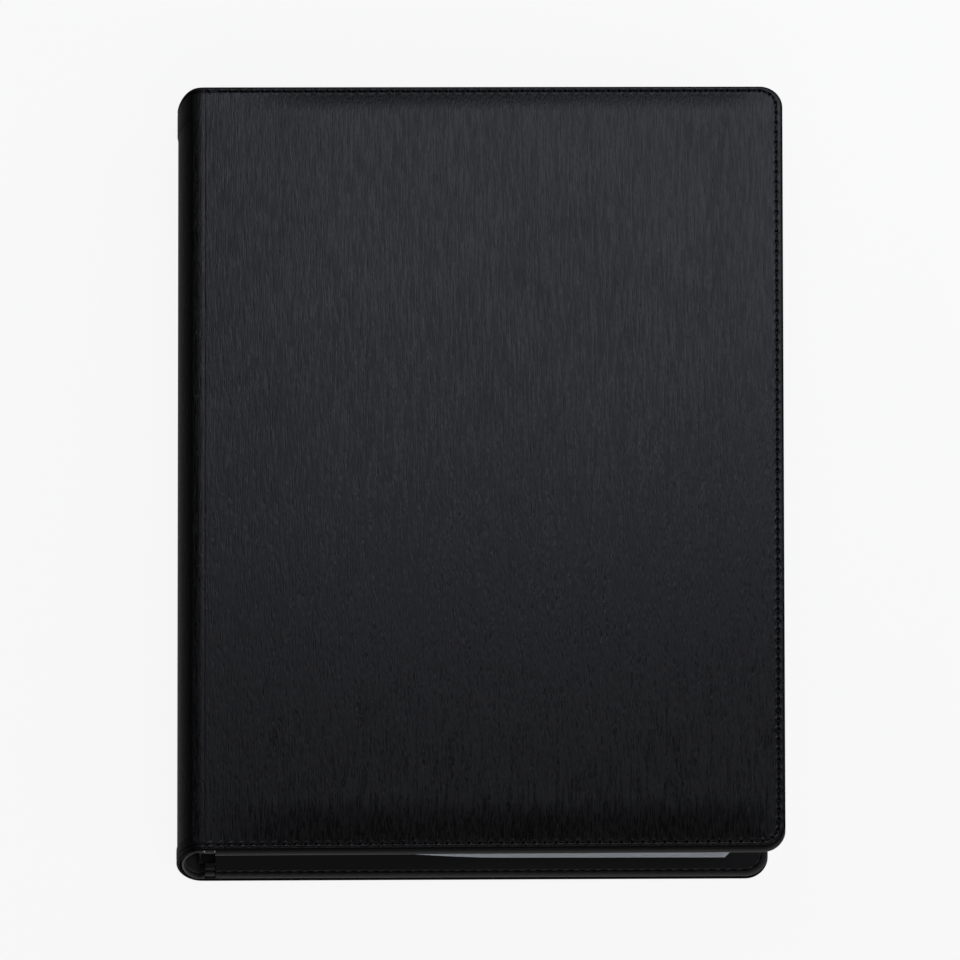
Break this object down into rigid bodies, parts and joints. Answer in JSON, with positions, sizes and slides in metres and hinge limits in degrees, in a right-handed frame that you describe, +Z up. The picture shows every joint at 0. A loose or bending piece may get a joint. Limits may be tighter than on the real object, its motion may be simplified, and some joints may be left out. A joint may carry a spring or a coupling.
{
  "type": "display book",
  "caption": "Padded leather-look display book for A4 sheets: two stitched covers hinged on a soft rounded spine, with clear pockets inside.",
  "frame": {"origin": "centre of the closed book's footprint, on the surface under the back cover", "axes": "+X from the spine to the fore edge, +Y along the spine from foot to head, +Z up through the front cover"},
  "size_m": [0.2382, 0.325, 0.032],
  "materials": {
    "cover_skin": "near-black polyurethane leather cloth with a fine brushed grain, satin",
    "lining": "smooth black polyurethane leather cloth, semi-matt",
    "padding": "grey foam sheet, hidden",
    "board": "greyboard, hidden",
    "black_sheet": "black polypropylene sheet",
    "clear_film": "clear polypropylene film pockets seen on edge, with black inserts"
  },
  "bodies": {
    "back_cover": {"back_skin": "cover_skin", "back_padding": "padding", "back_board": "board", "back_lining": "lining", "back_pocket": "lining", "backing_sheet": "black_sheet", "page_block": "clear_film"},
    "spine": {"spine_skin": "cover_skin", "spine_stiffener": "black_sheet", "spine_liner": "lining"},
    "front_cover": {"front_skin": "cover_skin", "front_padding": "padding", "front_board": "board", "front_lining": "lining", "front_pocket": "lining"}
  },
  "joints": [
    {"name": "back_crease", "type": "hinge", "parent": "back_cover", "child": "spine", "pos_m": [-0.10825, 0, 0], "axis": [0, -1, 0], "range_deg": [0, 90]},
    {"name": "front_crease", "type": "hinge", "parent": "spine", "child": "front_cover", "pos_m": [-0.10825, 0, 0.031], "axis": [0, -1, 0], "range_deg": [0, 90]}
  ]
}
